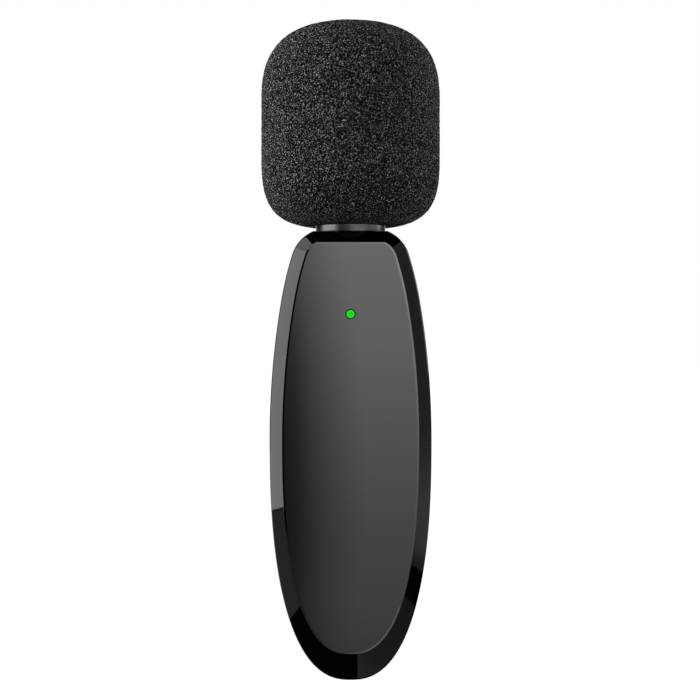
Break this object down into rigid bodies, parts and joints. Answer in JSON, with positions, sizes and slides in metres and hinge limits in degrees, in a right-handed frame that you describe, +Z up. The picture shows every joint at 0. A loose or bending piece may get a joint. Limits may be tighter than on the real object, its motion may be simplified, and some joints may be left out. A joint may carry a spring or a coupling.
{
  "type": "lavalier microphone",
  "caption": "Clip-on lavalier microphone with built-in radio transmitter: foam ball windscreen on a short neck, slim rounded housing with polished bevel, status light and spring clip.",
  "frame": {"origin": "middle of the clip's bite line, on the housing's flat back face and on its mid-plane", "axes": "+X across the housing to the power key, +Y out of the housing's back to the clip, +Z up along the housing to the foam windscreen; the front face looks along -Y"},
  "size_m": [0.018, 0.0195, 0.0654],
  "materials": {
    "housing_gloss": "polished, black",
    "housing_satin": "satin, black",
    "light_pipe": "clear, lit green from behind",
    "screw_steel": "black oxide",
    "neck_steel": "turned, bead blasted",
    "collar_chrome": "dark nickel, polished",
    "dust_cloth": "fine woven",
    "capsule_can": "drawn, bright",
    "black_rubber": "matt",
    "lead_jacket": "satin",
    "board": "green solder mask",
    "chip_black": "moulded epoxy",
    "crystal_can": "satin",
    "passive_ceramic": "matt",
    "antenna_ceramic": "matt",
    "led_body": "cast resin",
    "cell_foil": "satin pouch foil",
    "tape": "matt",
    "port_steel": "drawn, nickel plated",
    "contact_gilt": "gilt",
    "pin_steel": "ground",
    "spring_steel": "drawn wire",
    "foam": "open-cell foam, black",
    "plunger_plastic": "satin"
  },
  "bodies": {
    "housing": {"front_cover": "housing_gloss", "rear_cover": "housing_satin", "light_pipe": "light_pipe", "housing_screws": "screw_steel", "head_tube": "neck_steel", "neck_collar": "collar_chrome", "grille_cap": "neck_steel", "dust_mesh": "dust_cloth", "electret_capsule": "capsule_can", "capsule_gasket": "black_rubber", "mic_leads": "lead_jacket", "main_board": "board", "radio_chip": "chip_black", "crystal": "crystal_can", "charger_chip": "chip_black", "passives": "passive_ceramic", "chip_antenna": "antenna_ceramic", "status_led": "led_body", "battery_cell": "cell_foil", "battery_tape": "tape", "battery_leads": "lead_jacket", "usb_shell": "port_steel", "usb_tongue": "chip_black", "usb_contacts": "contact_gilt", "switch_body": "chip_black", "clip_pin": "pin_steel", "clip_spring": "spring_steel"},
    "windscreen": {"foam_windscreen": "foam"},
    "clip": {"clip_arm": "housing_satin", "clip_pad": "black_rubber"},
    "power_key": {"power_button": "housing_satin", "switch_plunger": "plunger_plastic"}
  },
  "joints": [
    {"name": "windscreen_slide", "type": "slide", "parent": "housing", "child": "windscreen", "axis": [0, 0, 1], "range_m": [0, 0.014]},
    {"name": "clip_hinge", "type": "hinge", "parent": "housing", "child": "clip", "pos_m": [0, 0.003, 0.025], "axis": [1, 0, 0], "range_deg": [0, 20], "stiffness_Nm_per_rad": 0.1, "springref_deg": -34.38, "deforming": ["clip_spring"]},
    {"name": "power_press", "type": "slide", "parent": "housing", "child": "power_key", "axis": [-1, 0, 0], "range_m": [0, 0.0003], "stiffness_N_per_m": 2000, "springref_m": -0.0005}
  ]
}
